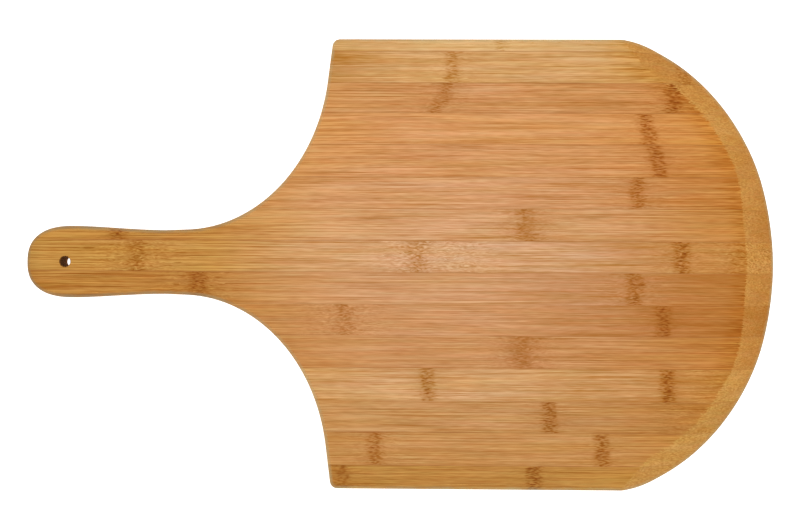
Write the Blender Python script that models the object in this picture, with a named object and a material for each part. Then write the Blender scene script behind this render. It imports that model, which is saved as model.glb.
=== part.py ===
"""A bamboo pizza peel.

Fifteen full-depth bamboo strips are glued edge to edge into a panel, and the panel is cut to the
peel's outline, rounded along its edges, ground to a thin front edge and bored for hanging.

Frame, in metres: +X runs from the handle to the front edge, +Y is to the left of it, +Z is up.
The origin is in the middle of the underside, so the peel lies on Z = 0.
"""

import math

import bmesh
import bpy

# The whole peel.
LENGTH = 0.508
BLADE_WIDTH = 0.304
THICKNESS = 0.010

# Strips from +Y to -Y. The two outer ones were narrowed when the panel was cut to width.
STRIP_WIDTHS = (
    0.00870, 0.02140, 0.02040, 0.02120, 0.02190,
    0.02155, 0.02175, 0.02130, 0.02160, 0.02090,
    0.02175, 0.02225, 0.02090, 0.02210, 0.01630,
)
JOINT_GAP = 0.0003
GLUE_FILM = 0.0002

# Front edge: part of an ellipse as long as the peel allows, meeting the straight sides softly.
TIP_CENTRE_X = 0.1218
TIP_REACH_Y = 0.1580
TIP_TURN = math.radians(67.9)
TIP_CORNER_RUN = 0.0121

# Shoulders: a hollow quarter of an ellipse from each side of the blade down to the handle.
SHOULDER_X = -0.1481
SHOULDER_Y = 0.1405
SHOULDER_REACH_X = 0.0986
SHOULDER_REACH_Y = 0.1183
SHOULDER_TURN = math.radians(8.6)
SHOULDER_CORNER_RUN = 0.0052

# Handle: narrowest at the neck, then widening to a rounded, slightly squared end.
NECK_X = -0.1591
NECK_HALF_WIDTH = 0.0217
NECK_EASE = 0.023
HANDLE_END_X = -0.2226
HANDLE_HALF_WIDTH = 0.02435
HANDLE_END_EASE = 0.018
HANDLE_END_POWER = 2.47

# Edges: rounded above and below, and a ramp on the top face along the front edge.
EDGE_RADIUS = 0.0015
TIP_EDGE_RADIUS = 0.0010
EDGE_LEDGE = 0.0006
RAMP_SLOPE = math.radians(18.9)
RAMP_WIDTH = 0.0168
RAMP_EXTRA_WIDTH = 0.0054
RAMP_EXTRA_TURN = math.radians(20)
RAMP_END_TURN = math.radians(80)
RAMP_FADE_TURN = math.radians(16)
RAMP_SETTLE = 0.004

# Hanging hole.
HOLE_X = -0.22775
HOLE_Y = 0.0
HOLE_RADIUS = 0.0035
HOLE_CHAMFER = 0.0004
HOLE_STRIP = 8

# How finely curves are stepped.
TIP_STEPS = 26
CORNER_STEPS = 7
SHOULDER_STEPS = 24
NECK_STEPS = 8
HANDLE_END_STEPS = 14
EDGE_STEPS = 3
HOLE_STEPS = 32
SHARP_ANGLE = math.radians(30)

# Cutters reach this far past what they cut.
OVERRUN = 0.005

# Bamboo tones, linear RGB, and which strip has which.
BAMBOO_TONES = {
    "pale": (0.650, 0.340, 0.125),
    "tan": (0.605, 0.292, 0.105),
    "amber": (0.560, 0.260, 0.088),
    "golden": (0.520, 0.245, 0.072),
}
STRIP_TONES = (
    "pale", "pale", "amber", "tan", "tan",
    "tan", "tan", "tan", "amber", "amber",
    "amber", "tan", "amber", "golden", "golden",
)
GLUE_COLOUR = (0.230, 0.098, 0.030)
BAMBOO_ROUGHNESS = 0.45
GLUE_ROUGHNESS = 0.50


def clear_scene():
    for item in list(bpy.data.objects):
        bpy.data.objects.remove(item, do_unlink=True)


def ellipse_point(centre, reach, turn):
    """A point on an ellipse, at an angle from +X."""
    return (
        centre[0] + reach[0] * math.cos(turn),
        centre[1] + reach[1] * math.sin(turn),
    )


def bezier(controls, steps):
    """Points along a Bezier curve of any degree, after its first control and up to its last."""
    points = []
    degree = len(controls) - 1
    for step in range(1, steps + 1):
        t = step / steps
        weights = [
            math.comb(degree, k) * t**k * (1 - t) ** (degree - k) for k in range(degree + 1)
        ]
        x = sum(w * c[0] for w, c in zip(weights, controls))
        y = sum(w * c[1] for w, c in zip(weights, controls))
        points.append((x, y))
    return points


def tip_reach_x():
    return LENGTH / 2 - TIP_CENTRE_X


def side_corner(centre, reach, turn):
    """Where an ellipse's tangent at a turn meets the line of the blade's straight side."""
    x, y = ellipse_point(centre, reach, turn)
    side = BLADE_WIDTH / 2
    return (x - (side - y) * reach[0] / reach[1] * math.tan(turn), side)


def tip_points():
    """From the foremost point, round the front edge and its corner, onto the straight side."""
    centre = (TIP_CENTRE_X, 0.0)
    reach = (tip_reach_x(), TIP_REACH_Y)
    turns = [TIP_TURN * step / TIP_STEPS for step in range(TIP_STEPS + 1)]
    points = [ellipse_point(centre, reach, turn) for turn in turns]
    corner = side_corner(centre, reach, TIP_TURN)
    landing = (corner[0] - TIP_CORNER_RUN, corner[1])
    return points + bezier([points[-1], corner, landing], CORNER_STEPS)


def shoulder_points():
    """From the straight side, round the blade's back corner, down the hollow to the neck."""
    centre = (SHOULDER_X, SHOULDER_Y)
    reach = (SHOULDER_REACH_X, -SHOULDER_REACH_Y)
    corner = side_corner(centre, reach, SHOULDER_TURN)
    first = ellipse_point(centre, reach, SHOULDER_TURN)
    start = (corner[0] + SHOULDER_CORNER_RUN, corner[1])
    share = SHOULDER_CORNER_RUN / math.dist(corner, first)
    end = tuple(c + (f - c) * share for c, f in zip(corner, first))
    points = [start] + bezier([start, corner, end], CORNER_STEPS)
    span = math.pi / 2 - SHOULDER_TURN
    for step in range(SHOULDER_STEPS):
        turn = SHOULDER_TURN + span * step / SHOULDER_STEPS
        points.append(ellipse_point(centre, reach, turn))
    return points


def handle_points():
    """From the neck along the handle, then round its end to the rearmost point."""
    neck = (NECK_X, NECK_HALF_WIDTH)
    widest = (HANDLE_END_X, HANDLE_HALF_WIDTH)
    ease_in = (NECK_X - NECK_EASE, NECK_HALF_WIDTH)
    ease_out = (HANDLE_END_X + HANDLE_END_EASE, HANDLE_HALF_WIDTH)
    points = [neck] + bezier([neck, ease_in, ease_out, widest], NECK_STEPS)
    reach = LENGTH / 2 + HANDLE_END_X
    power = 2 / HANDLE_END_POWER
    for step in range(1, HANDLE_END_STEPS):
        turn = math.pi / 2 * step / HANDLE_END_STEPS
        x = HANDLE_END_X - reach * math.sin(turn) ** power
        y = HANDLE_HALF_WIDTH * math.cos(turn) ** power
        points.append((x, y))
    return points + [(-LENGTH / 2, 0.0)]


def outline_points():
    """The peel's outline seen from above, anticlockwise from its foremost point."""
    left = tip_points() + shoulder_points() + handle_points()
    right = [(x, -y) for x, y in reversed(left[1:-1])]
    return left + right


def inward_normals(points):
    """A unit vector into the outline at each of its points."""
    normals = []
    count = len(points)
    for index in range(count):
        before = points[index - 1]
        after = points[(index + 1) % count]
        along = (after[0] - before[0], after[1] - before[1])
        size = math.hypot(*along)
        normals.append((-along[1] / size, along[0] / size))
    return normals


def ramp_width(x, y):
    """How far in from the outline the front ramp starts: none on the sides and the handle."""
    turn = math.atan2(abs(y) / TIP_REACH_Y, (x - TIP_CENTRE_X) / tip_reach_x())
    if turn >= RAMP_END_TURN:
        return 0.0
    extra = RAMP_EXTRA_WIDTH * math.exp(-((turn / RAMP_EXTRA_TURN) ** 4))
    fade = math.sin(min(1.0, (RAMP_END_TURN - turn) / RAMP_FADE_TURN) * math.pi / 2)
    return (RAMP_WIDTH + extra) * fade


def edge_section(width):
    """The edge's cross-section as (distance in from the outline, height), underside to top face.

    width is the front ramp's width there. The ramp keeps its slope as it narrows, and settles
    level over its last few millimetres, so the edge grows back to the panel's full thickness.
    """
    settled = min(1.0, max(0.0, width - EDGE_RADIUS) / RAMP_SETTLE)
    slope = RAMP_SLOPE * settled
    radius = EDGE_RADIUS + (TIP_EDGE_RADIUS - EDGE_RADIUS) * settled
    section = []
    for step in range(EDGE_STEPS + 1):
        turn = math.pi / 2 * step / EDGE_STEPS
        section.append((radius * (1 - math.sin(turn)), radius * (1 - math.cos(turn))))
    crest = THICKNESS - width * math.tan(slope)
    centre_z = crest - radius / math.tan((math.pi / 2 + slope) / 2)
    for step in range(EDGE_STEPS + 1):
        turn = math.pi - (math.pi / 2 - slope) * step / EDGE_STEPS
        section.append((radius * (1 + math.cos(turn)), centre_z + radius * math.sin(turn)))
    section.append((max(width, radius + EDGE_LEDGE), THICKNESS))
    return section


def panel_mesh():
    """The finished outer shape of the whole peel, as one closed mesh."""
    points = outline_points()
    normals = inward_normals(points)
    shape = bmesh.new()
    columns = []
    for (x, y), (in_x, in_y) in zip(points, normals):
        section = edge_section(ramp_width(x, y))
        column = [shape.verts.new((x + in_x * d, y + in_y * d, z)) for d, z in section]
        columns.append(column)
    count = len(columns)
    for index in range(count):
        here = columns[index]
        ahead = columns[(index + 1) % count]
        for level in range(len(here) - 1):
            shape.faces.new((here[level], ahead[level], ahead[level + 1], here[level + 1]))
    bmesh.ops.triangulate(shape, faces=shape.faces[:])
    shape.faces.new([column[0] for column in reversed(columns)])
    shape.faces.new([column[-1] for column in columns])
    mesh = bpy.data.meshes.new("panel_shape")
    shape.to_mesh(mesh)
    shape.free()
    mesh.shade_smooth()
    mesh.set_sharp_from_angle(angle=SHARP_ANGLE)
    return mesh


def hole_mesh():
    """The drill: a round bar along Z that flares at both faces to take off the hole's edges."""
    flare = HOLE_RADIUS + HOLE_CHAMFER + OVERRUN
    rings = (
        (-OVERRUN, flare),
        (HOLE_CHAMFER, HOLE_RADIUS),
        (THICKNESS - HOLE_CHAMFER, HOLE_RADIUS),
        (THICKNESS + OVERRUN, flare),
    )
    shape = bmesh.new()
    loops = []
    for z, radius in rings:
        loop = []
        for step in range(HOLE_STEPS):
            turn = 2 * math.pi * step / HOLE_STEPS
            spot = (HOLE_X + radius * math.cos(turn), HOLE_Y + radius * math.sin(turn), z)
            loop.append(shape.verts.new(spot))
        loops.append(loop)
    for lower, upper in zip(loops, loops[1:]):
        for step in range(HOLE_STEPS):
            ahead = (step + 1) % HOLE_STEPS
            shape.faces.new((lower[step], lower[ahead], upper[ahead], upper[step]))
    shape.faces.new(list(reversed(loops[0])))
    shape.faces.new(loops[-1])
    mesh = bpy.data.meshes.new("hole_drill")
    shape.to_mesh(mesh)
    shape.free()
    mesh.shade_smooth()
    mesh.set_sharp_from_angle(angle=SHARP_ANGLE)
    return mesh


def lane_mesh(name, low_y, high_y):
    """A box that runs past both ends and both faces of the peel, between two joint planes."""
    shape = bmesh.new()
    bmesh.ops.create_cube(shape, size=1.0)
    size = (LENGTH + 2 * OVERRUN, high_y - low_y, THICKNESS + 2 * OVERRUN)
    middle = (0.0, (low_y + high_y) / 2, THICKNESS / 2)
    bmesh.ops.scale(shape, vec=size, verts=shape.verts[:])
    bmesh.ops.translate(shape, vec=middle, verts=shape.verts[:])
    mesh = bpy.data.meshes.new(name)
    shape.to_mesh(mesh)
    shape.free()
    return mesh


def add_object(name, mesh, parent=None):
    item = bpy.data.objects.new(name, mesh)
    item.parent = parent
    bpy.context.scene.collection.objects.link(item)
    return item


def add_cutter(name, mesh):
    cutter = add_object(name, mesh)
    cutter.hide_render = True
    cutter.display_type = "WIRE"
    return cutter


def add_boolean(item, operation, other):
    boolean = item.modifiers.new(operation.lower(), "BOOLEAN")
    boolean.operation = operation
    boolean.object = other
    boolean.solver = "EXACT"


def plain_material(name, colour, roughness):
    material = bpy.data.materials.new(name)
    material.use_nodes = True
    material.diffuse_color = (*colour, 1.0)
    shader = material.node_tree.nodes["Principled BSDF"]
    shader.inputs["Base Color"].default_value = (*colour, 1.0)
    shader.inputs["Roughness"].default_value = roughness
    shader.inputs["Metallic"].default_value = 0.0
    return material


def strip_edges():
    """The planes Y = constant that bound the strips, from +Y to -Y."""
    edges = [BLADE_WIDTH / 2]
    for width in STRIP_WIDTHS:
        edges.append(edges[-1] - width)
    return edges


def add_strips(peel, panel, edges):
    """One object for each strip: its lane of the panel, short of the joint planes by half a gap."""
    tones = {
        tone: plain_material("bamboo_" + tone, colour, BAMBOO_ROUGHNESS)
        for tone, colour in BAMBOO_TONES.items()
    }
    strips = []
    last = len(STRIP_WIDTHS) - 1
    for index, tone in enumerate(STRIP_TONES):
        high_y = edges[index] + (OVERRUN if index == 0 else -JOINT_GAP / 2)
        low_y = edges[index + 1] + (-OVERRUN if index == last else JOINT_GAP / 2)
        name = f"bamboo_strip_{index + 1:02d}"
        strip = add_object(name, lane_mesh(name, low_y, high_y), peel)
        strip.data.materials.append(tones[tone])
        add_boolean(strip, "INTERSECT", panel)
        strips.append(strip)
    return strips


def add_glue_lines(peel, panel, edges):
    """One object for each joint: the film of glue in the gap between two strips."""
    glue = plain_material("glue", GLUE_COLOUR, GLUE_ROUGHNESS)
    for number, joint_y in enumerate(edges[1:-1], start=1):
        name = f"glue_line_{number:02d}"
        mesh = lane_mesh(name, joint_y - GLUE_FILM / 2, joint_y + GLUE_FILM / 2)
        film = add_object(name, mesh, peel)
        film.data.materials.append(glue)
        add_boolean(film, "INTERSECT", panel)


def main():
    clear_scene()
    peel = bpy.data.objects.new("pizza_peel", None)
    bpy.context.scene.collection.objects.link(peel)
    panel = add_cutter("panel_shape", panel_mesh())
    drill = add_cutter("hole_drill", hole_mesh())
    edges = strip_edges()
    strips = add_strips(peel, panel, edges)
    add_boolean(strips[HOLE_STRIP - 1], "DIFFERENCE", drill)
    add_glue_lines(peel, panel, edges)


main()
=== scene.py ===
"""Looks of the bamboo pizza peel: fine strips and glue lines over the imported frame, a bamboo
shader worked out from each strip's own fibres and knuckles, a white floor and soft light."""

import math
from collections import namedtuple

import bmesh
import bpy
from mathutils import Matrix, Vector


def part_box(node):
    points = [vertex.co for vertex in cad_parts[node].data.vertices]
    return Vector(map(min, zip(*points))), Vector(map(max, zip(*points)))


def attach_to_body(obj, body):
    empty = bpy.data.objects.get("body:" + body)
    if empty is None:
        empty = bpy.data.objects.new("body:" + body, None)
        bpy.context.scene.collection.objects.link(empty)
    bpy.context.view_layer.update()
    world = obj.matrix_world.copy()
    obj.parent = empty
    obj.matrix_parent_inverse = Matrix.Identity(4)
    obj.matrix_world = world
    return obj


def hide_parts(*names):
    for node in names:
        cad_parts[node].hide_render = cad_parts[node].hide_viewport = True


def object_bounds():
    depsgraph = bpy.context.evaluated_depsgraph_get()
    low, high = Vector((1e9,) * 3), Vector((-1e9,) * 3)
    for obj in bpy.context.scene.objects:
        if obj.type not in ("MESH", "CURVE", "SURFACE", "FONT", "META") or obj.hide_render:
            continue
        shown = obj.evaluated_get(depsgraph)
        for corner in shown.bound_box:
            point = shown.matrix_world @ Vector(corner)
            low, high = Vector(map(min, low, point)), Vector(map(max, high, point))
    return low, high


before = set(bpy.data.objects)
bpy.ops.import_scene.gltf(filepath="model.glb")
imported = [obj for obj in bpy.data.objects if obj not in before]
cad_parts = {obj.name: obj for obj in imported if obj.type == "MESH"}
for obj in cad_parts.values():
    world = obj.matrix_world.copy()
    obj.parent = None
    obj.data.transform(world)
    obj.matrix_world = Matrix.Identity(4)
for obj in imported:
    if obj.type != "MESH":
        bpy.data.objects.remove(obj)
CAD_LOW, CAD_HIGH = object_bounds()

LENGTH = CAD_HIGH.x - CAD_LOW.x
HALF_WIDTH = CAD_HIGH.y
THICKNESS = CAD_HIGH.z
MM = 0.001

# The outline's driving sizes, in metres. It is built for +Y and mirrored. A corner's run is how
# far its rounding reaches along the straight side, and an ease is how far a handle curve's
# control point lies from its end.
TIP_CENTRE_X = 0.1218
TIP_REACH_X = LENGTH / 2 - TIP_CENTRE_X
TIP_REACH_Y = 0.1580
TIP_TURN = math.radians(67.9)
TIP_CORNER_RUN = 0.0121
SHOULDER_CENTRE = (-0.1481, 0.1405)
SHOULDER_REACH = (0.0986, -0.1183)
SHOULDER_TURN = math.radians(8.6)
SHOULDER_CORNER_RUN = 0.0052
NECK_X = -0.1591
NECK_HALF_WIDTH = 0.0217
NECK_EASE = 0.023
HANDLE_END_X = -0.2226
HANDLE_HALF_WIDTH = 0.02435
HANDLE_END_EASE = 0.018
HANDLE_END_POWER = 2.47

# The edge all round, the flat ledge inside its rounding, how far in from the outline the painted
# shade on the upper rounding peaks and how far it reaches, and how much painted shade the lower
# rounding gets.
EDGE_RADIUS = 0.0015
TIP_EDGE_RADIUS = 0.0010
LEDGE = 0.0006
EDGE_SHADE_PEAK = 0.0004
EDGE_SHADE_REACH = 0.0024
LOWER_EDGE_SHADE = 0.5

# The ramp ground on the top face along the front: its slope, its width, how much wider it is at
# the tip and how far round the front ellipse that reaches, where the ramp ends and over what
# turn it narrows, the width that gives it its full slope, how soft its inner edge is, and how
# far the cut fibres fray across that edge, fully so from RAMP_FRAY_TURN on.
RAMP_SLOPE = math.radians(18.9)
RAMP_WIDTH = 0.0168
RAMP_EXTRA_WIDTH = 0.0054
RAMP_EXTRA_TURN = math.radians(20)
RAMP_END_TURN = math.radians(80)
RAMP_FADE_TURN = math.radians(16)
RAMP_SETTLE = 0.004
RAMP_BLEND = 0.0008
RAMP_FRAY = 0.0024
RAMP_FRAY_TURN = math.radians(55)

# The hanging hole.
HOLE_X = -0.22775
HOLE_RADIUS = 0.0035
HOLE_CHAMFER = 0.0004
HOLE_STRIP = 8

# How many straight steps make up each curved stretch.
TIP_STEPS = 70
CORNER_STEPS = 12
SHOULDER_STEPS = 60
NECK_STEPS = 20
HANDLE_END_STEPS = 36
EDGE_STEPS = 6
HOLE_STEPS = 64
SHARP_ANGLE = math.radians(40)

# A glue film's half width, how far the drill runs past both faces, how close to a joint plane
# a corner counts as lying on it, and how level a face has to be not to be the hole's wall.
FILM_HALF_WIDTH = 0.0001
OVERRUN = 0.005
CUT_TOLERANCE = 1e-7
LEVEL_FACE = 0.9


# ---------------------------------------------------------------- outline and mesh


def ellipse_point(centre, reach, turn):
    """The point of an upright ellipse at a turn from its +X end."""
    return (
        centre[0] + reach[0] * math.cos(turn),
        centre[1] + reach[1] * math.sin(turn),
    )


def bezier(controls, steps):
    """Points along a Bezier curve, after its first control and up to its last."""
    points = []
    degree = len(controls) - 1
    for step in range(1, steps + 1):
        t = step / steps
        weights = [
            math.comb(degree, k) * t**k * (1 - t) ** (degree - k) for k in range(degree + 1)
        ]
        x = sum(w * c[0] for w, c in zip(weights, controls))
        y = sum(w * c[1] for w, c in zip(weights, controls))
        points.append((x, y))
    return points


def side_corner(centre, reach, turn):
    """Where an ellipse's tangent at a turn meets the line of the blade's straight side."""
    x, y = ellipse_point(centre, reach, turn)
    return (x - (HALF_WIDTH - y) * reach[0] / reach[1] * math.tan(turn), HALF_WIDTH)


def tip_points():
    """From the foremost point round the front edge and its corner onto the straight side."""
    centre = (TIP_CENTRE_X, 0.0)
    reach = (TIP_REACH_X, TIP_REACH_Y)
    turns = [TIP_TURN * step / TIP_STEPS for step in range(TIP_STEPS + 1)]
    points = [ellipse_point(centre, reach, turn) for turn in turns]
    corner = side_corner(centre, reach, TIP_TURN)
    landing = (corner[0] - TIP_CORNER_RUN, corner[1])
    return points + bezier([points[-1], corner, landing], CORNER_STEPS)


def shoulder_points():
    """From the straight side round the blade's back corner and down the hollow to the neck."""
    corner = side_corner(SHOULDER_CENTRE, SHOULDER_REACH, SHOULDER_TURN)
    first = ellipse_point(SHOULDER_CENTRE, SHOULDER_REACH, SHOULDER_TURN)
    start = (corner[0] + SHOULDER_CORNER_RUN, corner[1])
    share = SHOULDER_CORNER_RUN / math.dist(corner, first)
    end = tuple(c + (f - c) * share for c, f in zip(corner, first))
    points = [start] + bezier([start, corner, end], CORNER_STEPS)
    span = math.pi / 2 - SHOULDER_TURN
    for step in range(SHOULDER_STEPS):
        turn = SHOULDER_TURN + span * step / SHOULDER_STEPS
        points.append(ellipse_point(SHOULDER_CENTRE, SHOULDER_REACH, turn))
    return points


def handle_points():
    """From the neck along the handle and round its end to the rearmost point."""
    neck = (NECK_X, NECK_HALF_WIDTH)
    widest = (HANDLE_END_X, HANDLE_HALF_WIDTH)
    ease_in = (NECK_X - NECK_EASE, NECK_HALF_WIDTH)
    ease_out = (HANDLE_END_X + HANDLE_END_EASE, HANDLE_HALF_WIDTH)
    points = [neck] + bezier([neck, ease_in, ease_out, widest], NECK_STEPS)
    reach = LENGTH / 2 + HANDLE_END_X
    power = 2 / HANDLE_END_POWER
    for step in range(1, HANDLE_END_STEPS):
        turn = math.pi / 2 * step / HANDLE_END_STEPS
        x = HANDLE_END_X - reach * math.sin(turn) ** power
        y = HANDLE_HALF_WIDTH * math.cos(turn) ** power
        points.append((x, y))
    return points + [(-LENGTH / 2, 0.0)]


def outline_points():
    """The peel's outline seen from above, anticlockwise from its foremost point."""
    left = tip_points() + shoulder_points() + handle_points()
    right = [(x, -y) for x, y in reversed(left[1:-1])]
    return left + right


def inward_normals(points):
    """At each point of the outline, the unit direction that points into the board."""
    normals = []
    for index in range(len(points)):
        before = points[index - 1]
        after = points[(index + 1) % len(points)]
        along = (after[0] - before[0], after[1] - before[1])
        size = math.hypot(*along)
        normals.append((-along[1] / size, along[0] / size))
    return normals


def tip_turn(x, y):
    """How far round the front ellipse from the foremost point a place is, as an angle."""
    return math.atan2(abs(y) / TIP_REACH_Y, (x - TIP_CENTRE_X) / TIP_REACH_X)


def ramp_width(x, y):
    """How far in from the outline the front ramp starts: none on the sides and the handle."""
    turn = tip_turn(x, y)
    if turn >= RAMP_END_TURN:
        return 0.0
    extra = RAMP_EXTRA_WIDTH * math.exp(-((turn / RAMP_EXTRA_TURN) ** 4))
    fade = math.sin(min(1.0, (RAMP_END_TURN - turn) / RAMP_FADE_TURN) * math.pi / 2)
    return (RAMP_WIDTH + extra) * fade


def ramp_fray(x, y):
    """How far the cut fibres fray across the ramp's inner edge: most where it runs aslant."""
    return RAMP_FRAY * min(1.0, 0.2 + 0.8 * (tip_turn(x, y) / RAMP_FRAY_TURN) ** 2)


def edge_shade_at(inset):
    """How much painted shade the top of the edge gets at a distance in from the outline."""
    return math.cos(min(1.0, abs(inset - EDGE_SHADE_PEAK) / EDGE_SHADE_REACH) * math.pi / 2)


def lower_edge(radius):
    """The rounding from the underside out to the board's side."""
    section = [(radius + LEDGE, 0.0, 0.0, 0.0)]
    for step in range(EDGE_STEPS + 1):
        turn = math.pi / 2 * step / EDGE_STEPS
        inset = radius * (1 - math.sin(turn))
        height = radius * (1 - math.cos(turn))
        # Painted shade on the lower rounding, most halfway round it.
        edge_shade = math.sin(math.pi * step / EDGE_STEPS) * LOWER_EDGE_SHADE
        section.append((inset, height, step / EDGE_STEPS, edge_shade))
    return section


def upper_edge(radius, width, slope, settled):
    """The board's side and the rounding up to the top face or, at the front, to the ramp."""
    crest = THICKNESS - width * math.tan(slope)
    centre_z = crest - radius / math.tan((math.pi / 2 + slope) / 2)
    section = [
        (0.0, (2 * radius + centre_z) / 3, 1.0, 0.0),
        (0.0, (radius + 2 * centre_z) / 3, 1.0, 0.1),
    ]
    for step in range(EDGE_STEPS + 1):
        turn = math.pi - (math.pi / 2 - slope) * step / EDGE_STEPS
        inset = radius * (1 + math.cos(turn))
        height = centre_z + radius * math.sin(turn)
        cut = max(settled, 1 - step / EDGE_STEPS)
        # Painted shade on the upper rounding, peaking just in from the outline.
        edge_shade = edge_shade_at(inset) * min(1.0, 0.5 + step / 2)
        section.append((inset, height, cut, edge_shade))
    return section


def ramp_section(width, fray, slope, settled):
    """From the end of the edge's painted shade up the ramp and over its softly broken inner edge,
    where the cut face fades into the top face. With no ramp it is flat, but has as many points."""

    def ramp_height(inset):
        return THICKNESS - max(0.0, width - inset) * math.tan(slope)

    end_of_edge_shade = EDGE_SHADE_PEAK + EDGE_SHADE_REACH
    blend = RAMP_BLEND * settled
    fray *= settled
    start = max(width, end_of_edge_shade + blend + LEDGE / 4)
    first = max(end_of_edge_shade + LEDGE / 8, start - blend - fray - LEDGE / 8)
    low = ramp_height(start - blend)
    share = (blend + LEDGE / 4) / (blend + fray + LEDGE / 4) / 2
    return [
        (end_of_edge_shade, ramp_height(end_of_edge_shade), settled, 0.0),
        (first, ramp_height(first), settled, 0.0),
        (start - blend, low, settled * (0.5 + share), 0.0),
        (start + LEDGE / 4, low / 4 + THICKNESS * 3 / 4, settled / 2, 0.0),
        (start + blend + LEDGE / 2, THICKNESS, settled * (0.5 - share), 0.0),
        (start + blend + LEDGE * 3 / 4 + fray, THICKNESS, 0.0, 0.0),
    ]


def edge_section(width, fray):
    """The edge's cross-section from the underside to the top face, as (distance in from the
    outline, height, how much of a cut face it is, how much painted shade it gets)."""
    settled = min(1.0, max(0.0, width - EDGE_RADIUS) / RAMP_SETTLE)
    slope = RAMP_SLOPE * settled
    radius = EDGE_RADIUS + (TIP_EDGE_RADIUS - EDGE_RADIUS) * settled
    return (
        lower_edge(radius)
        + upper_edge(radius, width, slope, settled)
        + ramp_section(width, fray, slope, settled)
    )


def panel_shape():
    """The finished outer shape of the whole peel. Two vertex layers mark its cut faces and the
    painted shade along its edges."""
    points = outline_points()
    shape = bmesh.new()
    shape.verts.layers.float.new("cut")
    shape.verts.layers.float.new("edge_shade")
    cut_layer = shape.verts.layers.float["cut"]
    edge_shade_layer = shape.verts.layers.float["edge_shade"]
    columns = []
    for (x, y), (in_x, in_y) in zip(points, inward_normals(points)):
        column = []
        for distance, z, cut, edge_shade in edge_section(ramp_width(x, y), ramp_fray(x, y)):
            vertex = shape.verts.new((x + in_x * distance, y + in_y * distance, z))
            vertex[cut_layer] = cut
            vertex[edge_shade_layer] = edge_shade
            column.append(vertex)
        columns.append(column)
    for index, here in enumerate(columns):
        ahead = columns[(index + 1) % len(columns)]
        for level in range(len(here) - 1):
            shape.faces.new((here[level], ahead[level], ahead[level + 1], here[level + 1]))
    fill_between_sides(shape, [column[-1] for column in columns])
    fill_between_sides(shape, [column[0] for column in columns])
    bmesh.ops.recalc_face_normals(shape, faces=shape.faces[:])
    return shape


def fill_between_sides(shape, ring):
    """Closes a flat face with a ladder of faces from the left side across to the right."""
    half = len(ring) // 2
    for index in range(half):
        left, left_ahead = ring[index], ring[index + 1]
        right, right_ahead = ring[-index], ring[-index - 1]
        corners = [left, left_ahead, right_ahead, right]
        shape.faces.new(list(dict.fromkeys(corners)))


def keep_side(shape, y, outward):
    """Cuts the shape at Y = y, drops what lies outward and closes the cut."""
    geometry = shape.verts[:] + shape.edges[:] + shape.faces[:]
    bmesh.ops.bisect_plane(
        shape,
        geom=geometry,
        dist=CUT_TOLERANCE,
        plane_co=(0.0, y, 0.0),
        plane_no=(0.0, outward, 0.0),
        clear_outer=True,
    )
    rim = [edge for edge in shape.edges if edge.is_boundary]
    bmesh.ops.contextual_create(shape, geom=rim)


def lane_piece(name, panel, low_y, high_y):
    """The part of the panel between two joint planes, as its own closed piece."""
    shape = panel.copy()
    if high_y < HALF_WIDTH - FILM_HALF_WIDTH:
        keep_side(shape, high_y, 1.0)
    if low_y > -HALF_WIDTH + FILM_HALF_WIDTH:
        keep_side(shape, low_y, -1.0)
    bmesh.ops.recalc_face_normals(shape, faces=shape.faces[:])
    mesh = bpy.data.meshes.new(name)
    shape.to_mesh(mesh)
    shape.free()
    piece = bpy.data.objects.new(name, mesh)
    bpy.context.scene.collection.objects.link(piece)
    smooth(mesh)
    return piece


def smooth(mesh):
    """Shades a mesh smooth, except across its sharp edges."""
    mesh.shade_smooth()
    mesh.set_sharp_from_angle(angle=SHARP_ANGLE)


def drill_object():
    """A bar along Z that flares at both faces, to bore the hole and take off its edges."""
    flare = HOLE_RADIUS + HOLE_CHAMFER + OVERRUN
    rings = (
        (-OVERRUN, flare),
        (HOLE_CHAMFER, HOLE_RADIUS),
        (THICKNESS - HOLE_CHAMFER, HOLE_RADIUS),
        (THICKNESS + OVERRUN, flare),
    )
    shape = bmesh.new()
    loops = []
    for z, radius in rings:
        turns = [2 * math.pi * step / HOLE_STEPS for step in range(HOLE_STEPS)]
        spots = [(HOLE_X + radius * math.cos(t), radius * math.sin(t), z) for t in turns]
        loops.append([shape.verts.new(spot) for spot in spots])
    for lower, upper in zip(loops, loops[1:]):
        for step in range(HOLE_STEPS):
            ahead = (step + 1) % HOLE_STEPS
            shape.faces.new((lower[step], lower[ahead], upper[ahead], upper[step]))
    shape.faces.new(list(reversed(loops[0])))
    shape.faces.new(loops[-1])
    mesh = bpy.data.meshes.new("drill")
    shape.to_mesh(mesh)
    shape.free()
    drill = bpy.data.objects.new("drill", mesh)
    bpy.context.scene.collection.objects.link(drill)
    return drill


def bore(piece, wall_material):
    """Bores the hanging hole through a piece and gives the hole's wall its own material."""
    drill = drill_object()
    cut = piece.modifiers.new("bore", "BOOLEAN")
    cut.operation = "DIFFERENCE"
    cut.object = drill
    cut.solver = "EXACT"
    bpy.context.view_layer.update()
    evaluated = piece.evaluated_get(bpy.context.evaluated_depsgraph_get())
    bored = bpy.data.meshes.new_from_object(evaluated)
    piece.modifiers.clear()
    piece.data = bored
    bpy.data.objects.remove(drill, do_unlink=True)
    bored.materials.append(wall_material)
    reach = HOLE_RADIUS + HOLE_CHAMFER / 2
    for face in bored.polygons:
        near = math.hypot(face.center.x - HOLE_X, face.center.y) < reach
        if near and abs(face.normal.z) < LEVEL_FACE:
            face.material_index = 1
    smooth(bored)


# ---------------------------------------------------------------- shader building


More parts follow.
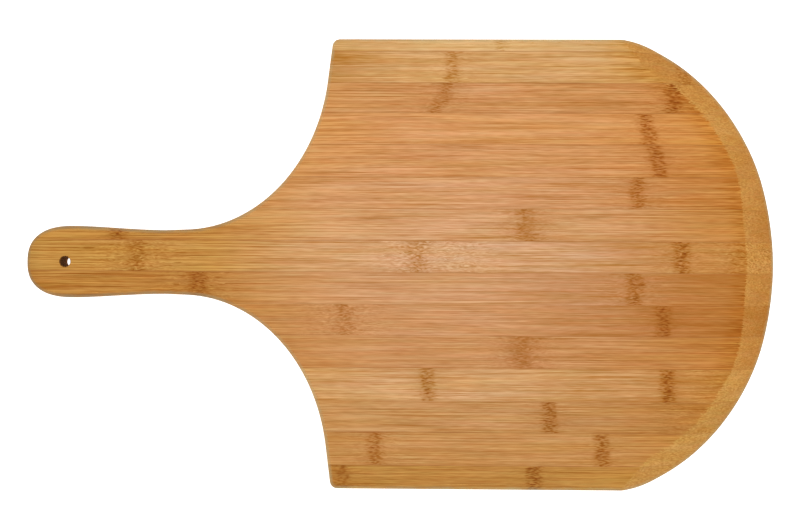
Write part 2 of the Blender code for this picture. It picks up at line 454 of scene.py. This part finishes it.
class Graph:
    """One material's node tree. Most methods add nodes and return an output socket."""

    # A Mix node's sockets share their names, so its colour ones are found by their places.
    MIX_A, MIX_B, MIX_RESULT = 6, 7, 2

    def __init__(self, name):
        self.material = bpy.data.materials.new(name)
        self.material.use_nodes = True
        self.tree = self.material.node_tree
        self.shader = self.tree.nodes["Principled BSDF"]

    def feed(self, socket, value):
        """Links a socket into another, or sets a constant on it."""
        if isinstance(value, bpy.types.NodeSocket):
            self.tree.links.new(value, socket)
        else:
            socket.default_value = value

    def surface(self, values):
        """Feeds the shader's inputs, given by name."""
        for name, value in values.items():
            self.feed(self.shader.inputs[name], value)

    def bump(self, height, strength, distance):
        """Fine relief from a height field."""
        inputs = {"Strength": strength, "Distance": distance, "Height": height}
        self.feed(self.shader.inputs["Normal"], self.add("Bump", inputs))

    def add(self, kind, inputs, output=0, **settings):
        """Adds a node, feeds its inputs and returns one of its outputs."""
        node = self.tree.nodes.new("ShaderNode" + kind)
        for key, value in settings.items():
            setattr(node, key, value)
        for key, value in inputs.items():
            self.feed(node.inputs[key], value)
        return node.outputs[output]

    def math(self, operation, *values, clamp=False):
        return self.add("Math", dict(enumerate(values)), operation=operation, use_clamp=clamp)

    def plus(self, *values):
        total = values[0]
        for value in values[1:]:
            total = self.math("ADD", total, value)
        return total

    def times(self, *values):
        product = values[0]
        for value in values[1:]:
            product = self.math("MULTIPLY", product, value)
        return product

    def minus(self, a, b):
        return self.math("SUBTRACT", a, b)

    def scaled(self, value, size, offset=0.0):
        """The value times a size, plus an offset."""
        return self.math("MULTIPLY_ADD", value, size, offset)

    def step(self, value, low, high):
        """0 below low, 1 above high, smooth between."""
        inputs = {"Value": value, "From Min": low, "From Max": high}
        return self.add("MapRange", inputs, interpolation_type="SMOOTHSTEP")

    def bell(self, value, width):
        """1 where the value is 0, falling to nothing a few widths away."""
        away = self.math("DIVIDE", value, width)
        return self.math("EXPONENT", self.times(away, away, -1.0))

    def hypotenuse(self, a, b):
        """How far a point lies from the origin, a and b being its two coordinates."""
        return self.math("SQRT", self.plus(self.times(a, a), self.times(b, b)))

    def noise(self, x, y, z, detail=2.0, roughness=0.5):
        """Noise from -0.5 to 0.5, of about one unit's grain."""
        vector = self.add("CombineXYZ", {"X": x, "Y": y, "Z": z})
        inputs = {"Vector": vector, "Scale": 1.0, "Detail": detail, "Roughness": roughness}
        return self.scaled(self.add("TexNoise", inputs), 1.0, -0.5)

    def mix(self, factor, a, b, blend="MIX"):
        """Colour a where the factor is 0, and b or a blended with b where it is 1."""
        settings = {"data_type": "RGBA", "blend_type": blend}
        inputs = {"Factor": factor, self.MIX_A: a, self.MIX_B: b}
        return self.add("Mix", inputs, output=self.MIX_RESULT, **settings)

    def ramp(self, value, stops):
        """A colour looked up along (place, colour) stops."""
        output = self.add("ValToRGB", {"Fac": value})
        elements = output.node.color_ramp.elements
        while len(elements) < len(stops):
            elements.new(0.5)
        for element, (place, colour) in zip(elements, stops):
            element.position = place
            element.color = (*colour, 1.0)
        return output

    def position(self):
        """The place on the piece in millimetres, as three sockets."""
        place = self.add("TexCoord", {}, output="Object")
        scaled = self.add("VectorMath", {0: place, "Scale": 1 / MM}, operation="SCALE")
        split = self.add("SeparateXYZ", {"Vector": scaled}).node
        return [split.outputs[axis] for axis in "XYZ"]

    def attribute(self, name):
        """A vertex layer of the piece, such as how much of a cut face it is."""
        return self.add("Attribute", {}, output="Fac", attribute_name=name)


# ---------------------------------------------------------------- bamboo

# A tone is how far a fibre's green departs from the strip's own, in natural logarithm units.
# Red departs less and blue more, so dark fibres are redder and pale ones greyer.
TONE_LAW = (0.60, 1.0, 1.5)
DEEP_LAW = (0.52, 1.0, 3.2)
DEEP_FROM = -0.25
DARKEST_TONE = -1.5
PALEST_TONE = 0.3
TONE_STOPS = 12

# How the colour deepens, a painted sheen left pale in the blade's middle, towards the handle's end
# and over the front of the blade, then painted shade with a deeper orange just before the ramp.
LENGTHWISE_SHEEN_TINT = (
    (0.00, (0.72, 0.64, 0.28)),
    (0.02, (0.84, 0.76, 0.34)),
    (0.25, (0.87, 0.78, 0.38)),
    (0.40, (0.98, 0.95, 0.82)),
    (0.50, (1.00, 1.00, 1.00)),
)
FRONT_SHEEN_TINT = (0.93, 0.80, 0.45, 1.0)
RIM_SHADE_TINT = (1.00, 0.97, 0.75, 1.0)

# Cut fibres, which are greyer on the ramp's -Y half, and the painted shade and painted reflection
# along the rounded edge of blade and handle.
CUT_COLOUR = (0.57, 0.255, 0.052)
LOWER_CUT_TINT = (0.94, 1.02, 1.12, 1.0)
EDGE_SHADE_COLOUR = (0.440, 0.370, 0.200, 1.0)
HANDLE_EDGE_SHADE_COLOUR = (0.290, 0.215, 0.115, 1.0)

# Glue soaked into the wood, cured glue from dark to pale, and glue cut through.
GLUE_STAIN = (0.33, 0.100, 0.012, 1.0)
GLUE_TONES = ((0.30, (0.280, 0.090, 0.012)), (0.70, (0.540, 0.240, 0.065)))
GLUE_ON_CUT = (0.44, 0.185, 0.030, 1.0)

# The drilled wall of the hanging hole, from dark to pale, painted dark as the shade inside the hole.
SHADED_WALL_TONES = ((0.35, (0.110, 0.036, 0.006)), (0.65, (0.220, 0.080, 0.015)))

# Where along X, in millimetres, each change runs from nothing to its full strength.
HANDLE_SPAN = (-60.0, -150.0)
BACK_SPAN = (0.0, -50.0)
FRONT_SPAN = (50.0, 150.0)
FRONT_SHEEN_SPAN = (110.0, 225.0)

# The layers of the long grain: each one's fibre length and width in millimetres, and weight.
# The bold ones come and go along the strip, and the fine ones show everywhere.
BOLD_FIBRES = ((70.0, 0.46, 0.92), (60.0, 0.90, 0.52))
FINE_FIBRES = ((8.0, 0.42, 0.55), (11.0, 0.80, 0.34), (40.0, 1.90, 0.20))

# How far the fibres wander, and how far a knuckle swirls them across and in depth, in
# millimetres.
WANDER = 2.0
SWIRL_ACROSS = 3.0
SWIRL_DEEP = 1.5

# How far along X a knuckle browns the wood and disturbs the grain, in millimetres; the more
# disturbed the grain, the farther.
HALO_REACH = 14.0
UNREST_REACH = 13.0
UNREST_EXTRA_REACH = 9.0

# Where painted shade with a deeper orange lies before the ramp, from full to none, in millimetres
# from it, and how fast the glue stain beside a joint fades for each millimetre.
RIM_SHADE_SPAN = (1.0, 16.0)
STAIN_FADE = 2.6

# How far apart along X two neighbouring strips lie in the shared noise, in millimetres.
SEED_STEP = 37.0

# How much each surface mirrors, and how high its finest relief is, in metres.
WOOD_SPECULAR = 0.1
GLUE_SPECULAR = 0.2
WOOD_RELIEF = 0.00006
WALL_RELIEF = 0.0001
GLUE_RELIEF = 0.00003

# A knuckle is its X in millimetres, how brown its band is, how brown its surroundings are, how
# disturbed the grain is round it, and how far the band leans along X for each step along Y. One
# that isn't brown only disturbs the grain.
Knuckle = namedtuple("Knuckle", "x brown soft_brown disturbed lean", defaults=(0.0,))

# A strip is its colour, how pale its cut faces are, how pale it turns towards the back and the
# front of the blade, its knuckles, how pale it turns in the handle, and how boldly its fibres
# show in the blade.
Strip = namedtuple(
    "Strip",
    "colour cut_tone back_tone front_tone knuckles handle_tone boldness",
    defaults=(0.0, 1.0),
)

# The strips from +Y to -Y.
STRIPS = (
    Strip(
        colour=(0.690, 0.406, 0.164),
        cut_tone=0.08,
        back_tone=-0.20,
        front_tone=-0.09,
        knuckles=[Knuckle(66, 0.4, 0.0, 0.3)],
        boldness=0.70,
    ),
    Strip(
        colour=(0.620, 0.325, 0.115),
        cut_tone=-0.06,
        back_tone=-0.26,
        front_tone=0.03,
        knuckles=[Knuckle(34, 0.6, 0.0, 0.5), Knuckle(191, 1.0, 0.0, 0.3)],
    ),
    Strip(
        colour=(0.585, 0.264, 0.088),
        cut_tone=0.02,
        back_tone=0.08,
        front_tone=-0.02,
        knuckles=[Knuckle(27, 0.6, 0.2, 0.6, 0.45), Knuckle(183, 0.9, 0.1, 0.7)],
    ),
    Strip(
        colour=(0.630, 0.282, 0.092),
        cut_tone=0.08,
        back_tone=0.09,
        front_tone=0.08,
        knuckles=[Knuckle(165, 1.1, 0.2, 0.5, -0.18)],
        boldness=0.92,
    ),
    Strip(
        colour=(0.610, 0.274, 0.094),
        cut_tone=-0.04,
        back_tone=0.18,
        front_tone=0.02,
        knuckles=[Knuckle(172, 1.0, 0.35, 0.4, -0.18)],
    ),
    Strip(
        colour=(0.610, 0.288, 0.114),
        cut_tone=0.00,
        back_tone=0.03,
        front_tone=-0.06,
        knuckles=[Knuckle(159, 0.9, 0.1, 0.5)],
    ),
    Strip(
        colour=(0.600, 0.296, 0.119),
        cut_tone=-0.11,
        back_tone=0.10,
        front_tone=-0.01,
        knuckles=[Knuckle(84, 0.50, 0.45, 0.8, -0.1), Knuckle(-192, 1.1, 0.3, 0.5)],
        boldness=0.93,
    ),
    Strip(
        colour=(0.620, 0.325, 0.146),
        cut_tone=0.02,
        back_tone=0.00,
        front_tone=-0.14,
        knuckles=[
            Knuckle(10, 0.6, 0.1, 1.3),
            Knuckle(38, 0.0, 0.0, 1.1),
            Knuckle(188, 0.9, 0.0, 0.8),
            Knuckle(238, 0.0, 0.0, 1.6),
            Knuckle(-179, 0.7, 0.1, 1.4),
        ],
        handle_tone=0.02,
    ),
    Strip(
        colour=(0.585, 0.283, 0.117),
        cut_tone=-0.08,
        back_tone=0.03,
        front_tone=-0.21,
        knuckles=[Knuckle(157, 0.8, 0.0, 0.8), Knuckle(-137, 0.9, 0.3, 1.1)],
        handle_tone=-0.10,
        boldness=0.80,
    ),
    Strip(
        colour=(0.570, 0.263, 0.097),
        cut_tone=-0.26,
        back_tone=0.00,
        front_tone=-0.21,
        knuckles=[Knuckle(-38, 0.45, 0.15, 1.2), Knuckle(176, 0.8, 0.3, 0.4)],
        boldness=0.82,
    ),
    Strip(
        colour=(0.545, 0.245, 0.082),
        cut_tone=-0.09,
        back_tone=0.02,
        front_tone=0.00,
        knuckles=[Knuckle(81, 0.25, 0.5, 1.0)],
        boldness=0.92,
    ),
    Strip(
        colour=(0.600, 0.311, 0.120),
        cut_tone=0.06,
        back_tone=0.02,
        front_tone=-0.11,
        knuckles=[
            Knuckle(18, 0.9, 0.3, 0.3),
            Knuckle(179, 1.1, 0.3, 0.3),
            Knuckle(208, 0.0, 0.0, 0.6),
        ],
    ),
    Strip(
        colour=(0.530, 0.256, 0.084),
        cut_tone=0.00,
        back_tone=0.05,
        front_tone=-0.04,
        knuckles=[Knuckle(100, 1.0, 0.2, 0.4), Knuckle(188, 0.0, 0.0, 0.6)],
    ),
    Strip(
        colour=(0.540, 0.256, 0.076),
        cut_tone=0.04,
        back_tone=-0.02,
        front_tone=0.00,
        knuckles=[Knuckle(-17, 0.8, 0.1, 0.7), Knuckle(135, 1.0, 0.1, 0.4)],
        boldness=0.86,
    ),
    Strip(
        colour=(0.467, 0.211, 0.041),
        cut_tone=0.02,
        back_tone=-0.05,
        front_tone=0.19,
        knuckles=[Knuckle(-39, 0.7, 0.1, 0.4), Knuckle(90, 1.2, 0.2, 0.4)],
    ),
)

# How much glue has soaked into the wood at each joint, by joint number, where it isn't 1.
JOINT_STAINS = {2: 1.3, 5: 0.6, 6: 0.3, 8: 0.8, 9: 0.0, 11: 0.8, 12: 0.7, 13: 1.4}


def tone_stops(colour):
    """A strip's colours from its darkest marks to its palest fibres."""
    stops = []
    for step in range(TONE_STOPS):
        share = step / (TONE_STOPS - 1)
        tone = DARKEST_TONE + (PALEST_TONE - DARKEST_TONE) * share
        deep = min(0.0, tone - DEEP_FROM)
        powers = [(tone - deep) * law + deep * far for law, far in zip(TONE_LAW, DEEP_LAW)]
        stops.append((share, [c * math.exp(power) for c, power in zip(colour, powers)]))
    return stops


def joint_stain(number):
    """How stained the wood is at a joint; the board's two long sides have no joint."""
    if number in (0, len(STRIPS)):
        return 0.0
    return JOINT_STAINS.get(number, 1.0)


class Bamboo(Graph):
    """One strip's shader: the fields that its layers share, and each layer as a method. Lengths
    are in millimetres."""

    def __init__(self, number, strip, low_y, high_y):
        super().__init__(f"bamboo_{number:02d}")
        self.number = number
        self.strip = strip
        self.low_y = low_y / MM
        self.high_y = high_y / MM
        self.middle = (low_y + high_y) / 2 / MM
        self.seed = SEED_STEP * number
        self.x, self.y, self.z = self.position()
        self.along = self.plus(self.x, self.seed)
        self.cut = self.attribute("cut")
        self.edge_shade = self.attribute("edge_shade")
        self.handle = self.step(self.x, *HANDLE_SPAN)
        self.band, self.soft, self.unrest = self.knuckle_fields()
        self.across, self.deep = self.bent_fibres()
        self.ahead, self.front, self.lower = self.before_ramp()
        self.wide = self.fibres(65.0, 5.0)
        self.long_tone = self.long_grain()
        self.rim_shade = self.rim_shade_share()
        self.dash = self.fibres(3.6, 0.66, 1.0)
        self.fleck = self.fibres(3.4, 0.58, 1.0)
        self.speck = self.noise(
            self.scaled(self.along, 1 / 2.2),
            self.scaled(self.y, 1 / 0.75),
            self.scaled(self.z, 1 / 0.75),
            2.0,
            0.6,
        )

    def toned(self, tone, colour):
        """The colour of a strip's fibres at a tone."""
        span = PALEST_TONE - DARKEST_TONE
        place = self.scaled(tone, 1 / span, -DARKEST_TONE / span)
        return self.ramp(place, tone_stops(colour))

    def fibres(self, length, width, detail=0.0):
        """Noise drawn out along the fibres, which bend with the grain."""
        return self.noise(
            self.scaled(self.along, 1 / length),
            self.scaled(self.across, 1 / width),
            self.scaled(self.deep, 1 / width),
            detail,
        )

    def layers(self, rows):
        """One weighted layer of fibres for each (length, width, weight)."""
        return [self.scaled(self.fibres(length, width), weight) for length, width, weight in rows]

    def knuckle_fields(self):
        """How deep a point lies in a knuckle's band, how brown the wood is round the band, and
        how disturbed the grain is there."""
        y, seed = self.y, self.seed
        ragged_z = self.scaled(self.z, 0.3)
        fringe = self.scaled(self.noise(self.scaled(y, 1.25), seed, ragged_z, 1.0), 12.0)
        band, soft, unrest = 0.0, 0.0, 0.0
        for place, brown, soft_brown, disturbed, lean in self.strip.knuckles:
            wobble = self.scaled(self.noise(self.scaled(y, 0.11), seed, place), 9.0)
            away = self.plus(self.x, wobble, self.scaled(y, -lean, lean * self.middle - place))
            ragged = self.math("ABSOLUTE", self.plus(away, fringe))
            faded = self.step(ragged, 1.0, 6.0 + 3.0 * disturbed)
            band = self.math("MAXIMUM", band, self.scaled(faded, -brown, brown))
            halo = self.times(self.bell(away, HALO_REACH), soft_brown)
            soft = self.math("MAXIMUM", soft, halo)
            spread = UNREST_REACH + UNREST_EXTRA_REACH * disturbed
            stirred = self.times(self.bell(away, spread), disturbed)
            unrest = self.math("MAXIMUM", unrest, stirred)
        return band, soft, unrest

    def bent_fibres(self):
        """Y and Z with the grain's bends taken out: the fibres wander a little everywhere and
        swirl near a knuckle."""
        drift = self.noise(
            self.scaled(self.along, 1 / 130), self.scaled(self.y, 1 / 22), self.seed, 1.0
        )
        wander = self.scaled(drift, WANDER)
        swirl = self.noise(
            self.scaled(self.along, 1 / 7),
            self.scaled(self.y, 1 / 3.5),
            self.scaled(self.z, 1 / 4),
            1.0,
        )
        across = self.plus(self.y, wander, self.times(swirl, self.unrest, SWIRL_ACROSS))
        deep = self.plus(self.z, self.times(swirl, self.unrest, SWIRL_DEEP))
        return across, deep

    def before_ramp(self):
        """How far a point of the blade is from the ramp's inner edge, 1 where there is a ramp in
        front of it, and 1 on the -Y side of the blade."""
        ahead = self.math("MAXIMUM", self.scaled(self.x, 1.0, -TIP_CENTRE_X / MM), 0.0)
        forward = self.scaled(ahead, MM / TIP_REACH_X)
        side = self.scaled(self.y, MM / TIP_REACH_Y)
        reach = self.hypotenuse(forward, side)
        radius = self.hypotenuse(ahead, self.y)
        whole = self.math("DIVIDE", radius, self.math("MAXIMUM", reach, 0.01))
        inset = self.minus(whole, radius)
        extra = self.bell(side, 0.36)
        width = self.scaled(extra, RAMP_EXTRA_WIDTH / MM, RAMP_WIDTH / MM)
        front = self.step(forward, 0.0, 0.35)
        return self.minus(inset, width), front, self.step(side, -0.35, -0.65)

    def long_grain(self):
        """The tone of the long fibres, bolder and with more dark lines in the handle."""
        lines = self.plus(*self.layers(BOLD_FIBRES))
        surge = self.scaled(self.fibres(16.0, 2.4), 1.6, 1.0)
        strength = self.plus(surge, self.scaled(self.handle, 0.50))
        thin_dark = self.step(self.fibres(90.0, 0.55), 0.13, 0.22)
        dark_line = self.times(thin_dark, self.scaled(self.handle, 1.0, 1.0))
        return self.plus(
            self.times(lines, strength),
            *self.layers(FINE_FIBRES),
            self.scaled(self.wide, 0.26),
            self.scaled(dark_line, -0.40, 0.02),
        )

    def face_tone(self):
        """The tone of the top face and the underside: long fibres, broken and browned at the
        knuckles, paler or darker towards the ends, with dark dashes in painted shade running up to the
        ramp."""
        strip = self.strip
        unrest = self.scaled(self.unrest, -0.45)
        calm = self.math("MAXIMUM", self.plus(1.0, unrest, self.scaled(self.band, -0.5)), 0.0)
        bold = self.scaled(self.handle, 1.0 - strip.boldness, strip.boldness)
        dashes = self.math("MINIMUM", self.scaled(self.dash, 4.7, -0.48), -0.08)
        streak = self.step(self.fibres(14.0, 1.0, 1.0), -0.05, 0.15)
        return self.plus(
            self.times(self.long_tone, calm, bold),
            self.times(self.band, dashes),
            self.times(self.unrest, self.fleck, 1.2),
            self.scaled(self.soft, -0.5),
            self.scaled(self.step(self.x, *BACK_SPAN), strip.back_tone),
            self.scaled(self.step(self.x, *FRONT_SPAN), strip.front_tone),
            self.scaled(self.handle, strip.handle_tone),
            self.times(self.rim_shade, self.scaled(streak, -0.42, -0.04)),
        )

    def rim_shade_share(self):
        """How much painted shade, with a deeper orange, lies before the ramp; on the -Y side there is
        hardly any.
        """
        fall = self.scaled(self.step(self.ahead, *RIM_SHADE_SPAN), -1.0, 1.0)
        return self.times(self.front, fall, self.scaled(self.lower, -0.95, 1.0))

    def face_colour(self, tone):
        """The colour of the top face and the underside at a tone, with painted sheen and painted shade
        along X.
        """
        lengthwise_sheen = self.ramp(self.scaled(self.x, MM / LENGTH, 0.5), LENGTHWISE_SHEEN_TINT)
        colour = self.mix(1.0, self.toned(tone, self.strip.colour), lengthwise_sheen, "MULTIPLY")
        front_sheen_share = self.step(self.x, *FRONT_SHEEN_SPAN)
        colour = self.mix(front_sheen_share, colour, FRONT_SHEEN_TINT, "MULTIPLY")
        return self.mix(self.rim_shade, colour, RIM_SHADE_TINT, "MULTIPLY")

    def cut_colour(self):
        """The colour of cut-through fibres: short specks in patches that trail along X."""
        trace = self.scaled(self.minus(self.along, self.scaled(self.ahead, 0.6)), 1 / 30)
        shade = self.noise(trace, self.scaled(self.y, 1 / 7), self.scaled(self.z, 1 / 7), 1.0)
        contrast = self.plus(self.scaled(shade, 2.0, 1.0), self.scaled(self.lower, 0.35))
        down_ramp = self.scaled(self.math("MINIMUM", self.ahead, 0.0), 0.008, 0.06)
        tone = self.plus(
            self.times(self.speck, contrast),
            self.scaled(self.long_tone, 0.40),
            self.scaled(shade, 0.35, self.strip.cut_tone),
            self.times(self.band, self.scaled(self.dash, 2.6, -0.25)),
            self.times(self.unrest, self.fleck, 1.2),
            self.times(self.front, down_ramp),
        )
        return self.mix(self.lower, self.toned(tone, CUT_COLOUR), LOWER_CUT_TINT, "MULTIPLY")

    def cut_share(self):
        """Where the cut faces lie, with a border frayed by the fibres."""
        return self.step(self.plus(self.cut, self.scaled(self.dash, 1.4)), 0.36, 0.58)

    def hue_drift(self):
        """The drift of the wood's hue between pinker and yellower, from one bundle of fibres to
        the next."""
        red = self.scaled(self.fibres(22.0, 1.8, 1.0), 0.20, 1.0)
        blue = self.scaled(self.wide, 0.35, 1.0)
        return self.add("CombineXYZ", {"X": red, "Y": 1.0, "Z": blue})

    def glue_stain(self):
        """How much glue has stained the wood beside both joints, here more and there less."""
        soak = 0.0
        for distance, joint in (
            (self.minus(self.y, self.low_y), self.number),
            (self.minus(self.high_y, self.y), self.number - 1),
        ):
            depth = self.math("MAXIMUM", distance, 0.0)
            fall = self.math("EXPONENT", self.scaled(depth, -STAIN_FADE))
            soak = self.plus(soak, self.scaled(fall, joint_stain(joint)))
        patches = self.noise(self.scaled(self.along, 1 / 30), self.seed, 0.0, 1.0)
        patchy = self.plus(self.scaled(patches, 2.4, 0.30), self.scaled(self.handle, 0.35))
        on_face = self.scaled(self.cut, -0.7, 1.0)
        return self.times(soak, self.math("MAXIMUM", patchy, 0.05), on_face)

    def painted_edge_shade(self):
        """How much painted shade greys the rounded edge, most of all round the handle."""
        uneven = self.noise(
            self.scaled(self.along, 1 / 9), self.scaled(self.y, 1 / 9), self.scaled(self.z, 1 / 4), 3.0
        )
        shaded = self.plus(
            0.42,
            self.scaled(self.handle, 0.20),
            self.scaled(uneven, 1.1),
            self.scaled(self.speck, 0.80),
        )
        return self.math("MULTIPLY", self.edge_shade, shaded, clamp=True)


def bamboo(number, strip, low_y, high_y):
    """Bamboo for one strip: long fibres that bend round its knuckles, brown knuckle bands, and
    a plainer, short-fibred look where the fibres are cut through."""
    g = Bamboo(number, strip, low_y, high_y)
    tone = g.face_tone()
    colour = g.mix(g.cut_share(), g.face_colour(tone), g.cut_colour())
    colour = g.mix(1.0, colour, g.hue_drift(), "MULTIPLY")
    colour = g.mix(g.glue_stain(), colour, GLUE_STAIN)
    # Painted shade and painted reflection along the rounded edge, darker round the handle.
    edge_shade_colour = g.mix(g.handle, EDGE_SHADE_COLOUR, HANDLE_EDGE_SHADE_COLOUR)
    colour = g.mix(g.painted_edge_shade(), colour, edge_shade_colour)
    roughness = g.scaled(tone, -0.12, 0.38)
    g.surface({"Base Color": colour, "Roughness": roughness, "Specular IOR Level": WOOD_SPECULAR})
    relief = g.plus(g.times(tone, 0.8), g.scaled(g.speck, 0.2))
    g.bump(relief, strength=0.35, distance=WOOD_RELIEF)
    return g.material


def shaded_hole_wall():
    """The drilled end grain, painted dark brown as the shade inside the hole."""
    g = Graph("shaded_hole_wall")
    x, y, z = g.position()
    grain = g.noise(g.scaled(x, 1.2), g.scaled(y, 1.2), g.scaled(z, 0.5), 3.0, 0.6)
    colour = g.ramp(g.scaled(grain, 1.0, 0.5), SHADED_WALL_TONES)
    roughness = g.scaled(grain, 0.2, 0.85)
    g.surface({"Base Color": colour, "Roughness": roughness, "Specular IOR Level": WOOD_SPECULAR})
    g.bump(grain, strength=0.6, distance=WALL_RELIEF)
    return g.material


def glue_material():
    """Cured glue, honey brown and now and then paler where the joint is tight."""
    g = Graph("cured_glue")
    x, y, z = g.position()
    tight = g.noise(g.scaled(x, 1 / 35), g.scaled(y, 1 / 5), g.scaled(z, 1 / 6), 2.0, 0.6)
    colour = g.ramp(g.scaled(tight, 1.0, 0.5), GLUE_TONES)
    colour = g.mix(g.scaled(g.attribute("cut"), 0.75), colour, GLUE_ON_CUT)
    roughness = g.scaled(tight, 0.3, 0.60)
    g.surface({"Base Color": colour, "Roughness": roughness, "Specular IOR Level": GLUE_SPECULAR})
    grain = g.noise(g.scaled(x, 0.5), g.scaled(y, 1.0), g.scaled(z, 0.5))
    g.bump(grain, strength=0.3, distance=GLUE_RELIEF)
    return g.material


# ---------------------------------------------------------------- the peel


def attach(piece, node):
    """Puts a piece on the one body, in place of its CAD node."""
    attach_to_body(piece, "root")
    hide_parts(node)


def joint_y(number):
    """The middle of a glue line."""
    low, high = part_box(f"glue_line_{number:02d}")
    return (low.y + high.y) / 2


def add_strips(panel):
    """The bamboo strips, the outermost ones out to the board's sides."""
    wall = shaded_hole_wall()
    for number, strip in enumerate(STRIPS, start=1):
        node = f"bamboo_strip_{number:02d}"
        low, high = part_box(node)
        low_y = low.y if number == len(STRIPS) else joint_y(number) + FILM_HALF_WIDTH
        high_y = high.y if number == 1 else joint_y(number - 1) - FILM_HALF_WIDTH
        piece = lane_piece(f"strip_{number:02d}", panel, low_y, high_y)
        piece.data.materials.append(bamboo(number, strip, low_y, high_y))
        if number == HOLE_STRIP:
            bore(piece, wall)
        attach(piece, node)


def add_glue_lines(panel):
    """The glue films, which fill the joints from strip to strip."""
    glue = glue_material()
    for number in range(1, len(STRIPS)):
        middle = joint_y(number)
        low_y, high_y = middle - FILM_HALF_WIDTH, middle + FILM_HALF_WIDTH
        piece = lane_piece(f"glue_{number:02d}", panel, low_y, high_y)
        piece.data.materials.append(glue)
        attach(piece, f"glue_line_{number:02d}")


# ---------------------------------------------------------------- stage

# In metres and watts. The camera's place is its X, its Y and its height over the top face.
FLOOR_SIZE = 60.0
FLOOR_DROP = 0.0001
FLOOR_WHITE = (0.85, 0.85, 0.85, 1.0)
FLOOR_ROUGHNESS = 0.9
FLOOR_GLOW = 0.8
WHITE = (1.0, 1.0, 1.0, 1.0)
WORLD_STRENGTH = 0.53
CAMERA_SENSOR_MM = 36.0
CAMERA_LENS_MM = 28.12
CAMERA_PLACE = (0.0029, -0.0061, 0.421)
CAMERA_TILT_DEGREES = (0.66, 0.506, 0.291)


def add_floor():
    """A plain white floor that glows a little, so that it stays white round the peel."""
    mesh = bpy.data.meshes.new("floor")
    half = FLOOR_SIZE / 2
    corners = [(-half, -half, 0.0), (half, -half, 0.0), (half, half, 0.0), (-half, half, 0.0)]
    mesh.from_pydata(corners, [], [(0, 1, 2, 3)])
    floor = bpy.data.objects.new("floor", mesh)
    floor.location.z = -FLOOR_DROP
    bpy.context.scene.collection.objects.link(floor)
    g = Graph("floor_white")
    g.surface({"Base Color": FLOOR_WHITE, "Roughness": FLOOR_ROUGHNESS})
    g.surface({"Emission Color": WHITE, "Emission Strength": FLOOR_GLOW})
    mesh.materials.append(g.material)


def add_light(name, place, size, power):
    """A square soft light aimed at the middle of the peel."""
    data = bpy.data.lights.new(name, "AREA")
    data.shape = "SQUARE"
    data.size = size
    data.energy = power
    light = bpy.data.objects.new(name, data)
    light.location = place
    direction = -light.location
    light.rotation_euler = direction.to_track_quat("-Z", "Y").to_euler()
    bpy.context.scene.collection.objects.link(light)


def add_lights():
    """A soft light overhead, a weaker one from one side, and pale light all round."""
    add_light("overhead", place=(0.02, 0.0, 1.3), size=0.70, power=9.0)
    add_light("side", place=(-1.6, -1.4, 1.8), size=1.0, power=3.0)
    world = bpy.data.worlds.new("studio")
    world.use_nodes = True
    background = world.node_tree.nodes["Background"]
    background.inputs["Color"].default_value = WHITE
    background.inputs["Strength"].default_value = WORLD_STRENGTH
    bpy.context.scene.world = world


def add_camera():
    """A camera close above the top face, looking almost straight down."""
    data = bpy.data.cameras.new("camera")
    data.sensor_width = CAMERA_SENSOR_MM
    data.lens = CAMERA_LENS_MM
    camera = bpy.data.objects.new("camera", data)
    x, y, height = CAMERA_PLACE
    camera.location = (x, y, THICKNESS + height)
    camera.rotation_euler = [math.radians(tilt) for tilt in CAMERA_TILT_DEGREES]
    bpy.context.scene.collection.objects.link(camera)
    bpy.context.scene.camera = camera


bpy.context.scene.view_settings.view_transform = "Standard"
add_camera()
add_floor()
add_lights()
whole_panel = panel_shape()
add_strips(whole_panel)
add_glue_lines(whole_panel)
whole_panel.free()
